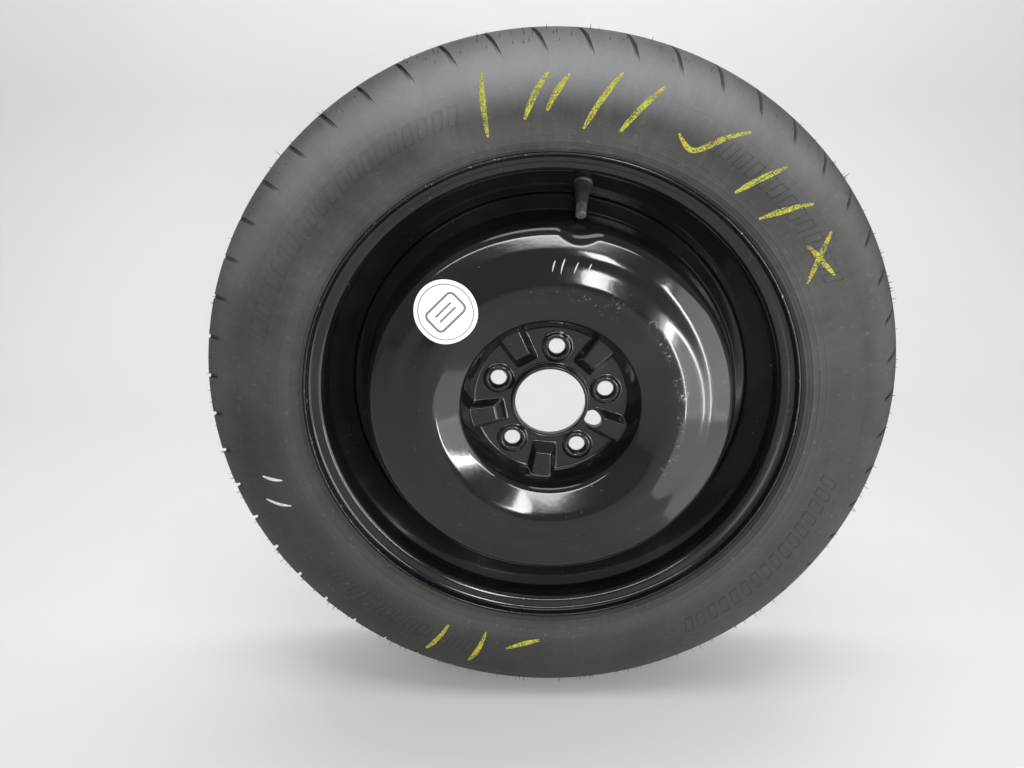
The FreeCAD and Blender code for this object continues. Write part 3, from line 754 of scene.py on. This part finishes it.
def buildBlocks(material):
    strokes = []
    low, high = blocks["low"], blocks["high"]
    for start, end, count in blocks["groups"]:
        place = start
        share = (end - start) / count
        for k in range(count):
            wide = share * blocks["share"]
            a, b = place, place + wide
            c, d = a + wide * blocks["lean"], b + wide * blocks["lean"]
            strokes += [((a, low), (b, low)), ((c, high), (d, high)),
                        ((a, low), (c, high)), ((b, low), (d, high))]
            place += share
    points, faces = [], []
    count = blocks["rows"]
    for (a0, r0), (a1, r1) in strokes:
        t = np.linspace(0, 1, count)
        line = np.stack([np.radians(a0 + (a1 - a0) * t) * markRadius, r0 + (r1 - r0) * t], -1)
        along = (line[-1] - line[0]) / np.linalg.norm(line[-1] - line[0])
        side = np.array((-along[1], along[0]))
        across = np.array((-1.0, -0.55, 0.55, 1.0))
        lift = np.array((-blocks["sunk"], blocks["lift"], blocks["lift"], -blocks["sunk"]))
        flat = line[:, None, :] + side * across[None, :, None] * blocks["line"] / 2
        flat[0] -= along * blocks["line"] * 0.4
        flat[-1] += along * blocks["line"] * 0.4
        grid = onSidewall(flat[..., 0] / markRadius, flat[..., 1], np.repeat(lift[None, :], count, 0))
        base = len(points)
        points += grid.reshape(-1, 3).tolist()
        for i in range(count - 1):
            for j in range(3):
                k = base + i * 4 + j
                faces.append((k, k + 1, k + 5, k + 4))
    piece = meshPiece("sidewallBlocks", points, faces, material, sharp=35)


# rubber hairs left by the mould vents

hairs = dict(count=230, seed=5, rings=(346.0, 343.0, 339.0, 349.5), long=(1.5, 5.0), thick=(0.25, 0.45),
             sides=5)


def buildHairs(material):
    rng = random.Random(hairs["seed"])
    points, faces = [], []
    sides = hairs["sides"]
    for k in range(hairs["count"]):
        angle = rng.uniform(0, 2 * math.pi)
        radius = rng.choice(hairs["rings"]) + rng.uniform(-1.5, 1.5)
        length = rng.uniform(*hairs["long"])
        thick = rng.uniform(*hairs["thick"])
        root = Vector(onSidewall(np.array(angle), np.array(radius), np.array(-0.3)).tolist())
        tip = Vector(onSidewall(np.array(angle), np.array(radius), np.array(length)).tolist())
        axis = (tip - root).normalized()
        bend = Vector((rng.uniform(-1, 1), rng.uniform(-1, 1), rng.uniform(-1, 1))) * length * 0.25 * mm
        side = axis.orthogonal().normalized()
        other = axis.cross(side)
        base = len(points)
        for t, scale in ((0.0, 1.0), (0.55, 0.8), (1.0, 0.35)):
            middle = root.lerp(tip, t) + bend * t * t
            for j in range(sides):
                a = 2 * math.pi * j / sides
                points.append(tuple(middle + (side * math.cos(a) + other * math.sin(a)) * thick * scale * mm))
        for low in (base, base + sides):
            for j in range(sides):
                n = (j + 1) % sides
                faces.append((low + j, low + n, low + sides + n, low + sides + j))
        faces.append(tuple(base + 2 * sides + j for j in range(sides)))
        faces.append(tuple(base + sides - 1 - j for j in range(sides)))
    piece = meshPiece("ventHairs", points, faces, material)


# hand marks: plain strokes in wax and chalk

handMarks = dict(width=5.0, chalkWidth=3.0, domeShare=0.7, lift=0.35)  # strokes are angle and radius
waxStrokes = [
    [(-12.6, 266), (-12.2, 292), (-11.4, 320)],
    [(-5.4, 276), (-3.6, 294), (-1.0, 314)],
    [(-1.4, 282), (0.2, 297), (2.4, 312)],
    [(5.4, 268), (7.6, 291), (10.6, 318)],
    [(12.2, 270), (14.6, 292), (17.6, 316)],
    [(22.4, 284), (25.8, 276), (29.0, 292), (33.2, 314)],
    [(37.4, 266), (39.2, 288), (41.6, 312)],
    [(44.6, 264), (46.6, 285), (49.2, 308)],
    [(55.0, 308), (57.4, 290), (61.4, 268)],
    [(54.4, 283), (57.8, 287), (62.2, 293)],
    [(182.0, 270), (185.4, 275), (189.4, 284)],
    [(196.4, 312), (195.2, 290), (194.6, 268)],
    [(205.4, 314), (204.2, 292), (203.4, 272)],
]
chalkStrokes = [
    [(251.5, 307), (249.8, 296), (248.6, 285)],
    [(256.4, 300), (255.4, 292), (254.6, 282)],
]
discChalk = [
    [(0.8, 151), (0.2, 146), (-0.2, 141)],
    [(4.2, 153), (3.4, 146), (3.0, 139)],
    [(9.0, 151), (8.4, 146), (8.0, 141)],
    [(13.6, 152), (13.0, 146), (12.6, 140)],
]

# valve rubber and cap

valveLine = [(2.2, -13.0), (5.0, -13.0), (6.2, -9.0), (9.3, -4.9), (9.3, -2.7), (5.65, -2.7), (5.65, 0.1),
             (9.4, 0.1), (9.4, 1.8), (7.8, 3.2), (5.8, 21.5), (5.2, 27.5), (3.45, 27.5), (3.45, -11.0),
             (2.2, -11.0)]  # radius and height along the valve
valveBends = [0, 0.8, 3.0, 0.9, 0.3, 0.2, 0.2, 0.5, 0.7, 2.0, 20.0, 0.5, 0.1, 0.1, 0]
capLine = [(4.2, 28.0), (5.1, 28.0), (5.1, 41.5), (0.05, 41.5), (0.05, 39.9), (3.93, 39.9), (3.93, 28.4)]
capBends = [0, 0.35, 1.1, 0, 0, 0.2, 0]
grip = dict(flutes=18, depth=0.32, low=29.2, high=40.2, outside=5.0)


def valveGrid(line, bends, step, columns, ripple=None):
    rows, _ = bentRow(line, bends, step)
    turn = np.linspace(0, 2 * math.pi, columns, endpoint=False)
    side = np.array(Vector(valveAxis).orthogonal().normalized())
    other = np.cross(valveAxis, side)
    radius = rows[:, :1] + 0 * turn[None, :]
    if ripple is not None:
        radius = ripple(rows, radius, turn)
    ring = side * np.cos(turn)[None, :, None] + other * np.sin(turn)[None, :, None]
    return (valveOrigin + rows[:, 1][:, None, None] * valveAxis + radius[..., None] * ring) * mm


def capGrip(rows, radius, turn):
    # finger flutes round the cap, with the smooth band left at its mouth
    outside = (rows[:, 0] > grip["outside"]) & (rows[:, 1] > grip["low"]) & (rows[:, 1] < grip["high"])
    flute = np.maximum(np.cos(turn * grip["flutes"]), 0) ** 2 * grip["depth"]
    return radius - outside[:, None] * flute[None, :]


def buildValve(rubber, plastic):
    body = gridPiece("valveBody", valveGrid(valveLine, valveBends, 0.7, 64), rubber, sharp=45)
    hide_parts("valve_rubber")
    shell = valveGrid(capLine, capBends, 0.6, 144, capGrip)
    cap = gridPiece("capShell", shell, plastic, body="cap", sharp=50)
    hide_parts("valve_cap")


# build

rubber = tyreRubber()
rimPaint = blackPaint("rimPaint", ((245.5, 4.0, -30.0, 220.0, 0.54, 0.68),
                                   (239.0, 4.0, 20.0, 90.0, 0.60, 0.72)))
discPaint = blackPaint("discPaint", ((129.0, 8.0, 78.0, 52.0, 0.48, 0.62),
                                     (120.0, 14.0, 18.0, 36.0, 0.56, 0.70),
                                     (124.0, 12.0, -135.0, 50.0, 0.60, 0.74)))
vinyl = stickerVinyl((sticker["x"] * mm, sticker["z"] * mm), sticker["radius"] * mm)
wax = crayonWax("yellowWax", (0.42, 0.42, 0.03), 0.54, 0.98)
chalk = crayonWax("whiteChalk", (0.62, 0.62, 0.60), 0.46, 0.76)
valveRubber = plainFinish("valveRubber", (0.012, 0.012, 0.012), (0.035, 0.035, 0.034), 0.42, 140.0)
capPlastic = plainFinish("capPlastic", (0.03, 0.03, 0.031), (0.10, 0.10, 0.098), 0.34, 180.0)
brass = plainFinish("turnedBrass", (0.55, 0.38, 0.13), (0.40, 0.27, 0.10), 0.25, 300.0,
                    metal=1.0, depth=0.0001)
springSteel = plainFinish("springSteel", (0.55, 0.55, 0.55), (0.42, 0.42, 0.43), 0.28, 400.0,
                          metal=1.0, depth=0.00005)
sealRubber = plainFinish("sealRubber", (0.02, 0.02, 0.02), (0.04, 0.04, 0.04), 0.55, 300.0)
corePlastic = plainFinish("corePlastic", (0.72, 0.71, 0.68), (0.62, 0.61, 0.58), 0.4, 300.0)
weldPaint = blackPaint("weldPaint", ((201.0, 6.0, 0.0, 400.0, 0.6, 0.75),))
print("finishes made:", len(bpy.data.materials))

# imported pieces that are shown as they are
cadFinish = dict(disc_welds=weldPaint, valve_stem=brass, core_plug=brass, core_barrel=brass,
                 core_seal=corePlastic, core_pin=brass, core_poppet=brass, poppet_seal=sealRubber,
                 core_spring=springSteel, cap_seal=sealRubber)
for node, material in cadFinish.items():
    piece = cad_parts[node]
    piece.data.materials.clear()
    piece.data.materials.append(material)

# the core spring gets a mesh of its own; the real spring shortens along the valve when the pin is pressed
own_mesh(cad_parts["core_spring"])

buildRim(rimPaint)
print("rim done")
buildDisc(discPaint)
print("disc done")
buildSticker(vinyl)
buildTyre(rubber)
buildBlocks(rubber)
buildHairs(rubber)
print("tyre done")
marks = ribbonPiece("waxMarks", waxStrokes, handMarks["width"], handMarks["lift"], onSidewall, wax)
marks = ribbonPiece("chalkMarks", chalkStrokes, handMarks["chalkWidth"], handMarks["lift"], onSidewall, chalk)
domeWidth = handMarks["chalkWidth"] * handMarks["domeShare"]
marks = ribbonPiece("discChalk", discChalk, domeWidth, handMarks["lift"], onDome, chalk)
buildValve(valveRubber, capPlastic)
print("marks and valve done")

# studio

studio = dict(floor=-0.352, front=-4.0, wall=1.35, cove=0.6, high=4.0, side=5.0, floorTint=(0.62, 0.62, 0.61),
              floorDark=(0.55, 0.55, 0.54), worldTint=(0.92, 0.95, 1.0, 1.0), worldLevel=0.42)


def buildStudio():
    material, w = newFinish("paleFloor")
    point = w.make("TexCoord", out=3)
    cloud = w.noise(point, 3.0, 4.0, 0.5)
    colour = (cloud * 0.3).over(studio["floorTint"], studio["floorDark"])
    shown(w, w.make("BsdfPrincipled", {}, {"Base Color": colour, "Roughness": 0.85}))
    # floor, a round cove and a wall behind
    cove = studio["cove"]
    line = [(studio["front"], 0.0)]
    line += [(studio["wall"] - cove + cove * math.sin(a), cove - cove * math.cos(a))
             for a in np.linspace(0, math.pi / 2, 13)]
    line.append((studio["wall"], studio["high"]))
    points = [(x, y, z + studio["floor"]) for y, z in line for x in (-studio["side"], studio["side"])]
    faces = [(2 * i, 2 * i + 1, 2 * i + 3, 2 * i + 2) for i in range(len(line) - 1)]
    mesh = bpy.data.meshes.new("studioFloor")
    mesh.from_pydata(points, [], faces)
    mesh.polygons.foreach_set("use_smooth", [True] * len(mesh.polygons))
    mesh.materials.append(material)
    floor = bpy.data.objects.new("studioFloor", mesh)
    bpy.context.scene.collection.objects.link(floor)


def softLamp(name, place, aim, size, power, spread=180):
    # panel lamp aimed at a point, not seen by the camera itself
    lamp = bpy.data.lights.new(name, "AREA")
    lamp.shape = "RECTANGLE"
    lamp.size, lamp.size_y = size
    lamp.energy = power
    lamp.spread = math.radians(spread)
    piece = bpy.data.objects.new(name, lamp)
    piece.location = place
    piece.rotation_euler = (Vector(aim) - Vector(place)).to_track_quat("-Z", "Y").to_euler()
    piece.visible_camera = False
    bpy.context.scene.collection.objects.link(piece)


buildStudio()
softLamp("frontLamp", (-0.25, -3.2, 1.36), (0, 0, 0.1), (3.6, 0.23), 48.0)
softLamp("topLamp", (-0.1, -0.5, 1.9), (0, 0, 0.1), (1.6, 0.7), 16.5)
softLamp("spotLamp", (0.37, -1.72, 0.40), (0, 0, 0.1), (0.20, 0.34), 6.0)
softLamp("sideLamp", (0.70, -0.62, -0.05), (0, 0, 0), (0.46, 0.58), 1.1, 110)
softLamp("edgeLamp", (0.49, -0.80, -0.05), (0, 0, 0), (0.035, 0.58), 1.1, 110)
softLamp("lowLamp", (0.50, -0.50, -0.34), (0.50, -0.50, 1), (0.50, 0.62), 1.5)
softLamp("backLamp", (0.0, 0.45, 2.1), (0, 1.35, 0.5), (2.6, 0.6), 38.0)

world = bpy.data.worlds.new("studioWorld")
bpy.context.scene.world = world
world.use_nodes = True
background = world.node_tree.nodes["Background"]
background.inputs[0].default_value = studio["worldTint"]
background.inputs[1].default_value = studio["worldLevel"]

view = dict(place=(-0.0271, -0.8421, 0.3181), ahead=(-0.0134, 0.9361, -0.3515), up=(0.0, 0.3515, 0.9362),
            lens=29.77)
camera = bpy.data.cameras.new("photoView")
camera.lens = view["lens"]
camera.sensor_width = 36.0
camera.clip_start = 0.01
ahead, up = Vector(view["ahead"]).normalized(), Vector(view["up"]).normalized()
right = ahead.cross(up).normalized()
up = right.cross(ahead)
cameraPiece = bpy.data.objects.new("photoView", camera)
turned = Matrix((right, up, -ahead)).transposed().to_4x4()
cameraPiece.matrix_world = Matrix.Translation(view["place"]) @ turned
bpy.context.scene.collection.objects.link(cameraPiece)
bpy.context.scene.camera = cameraPiece
bpy.context.scene.view_settings.view_transform = "Standard"
print("studio and camera set")

bpy.context.view_layer.update()
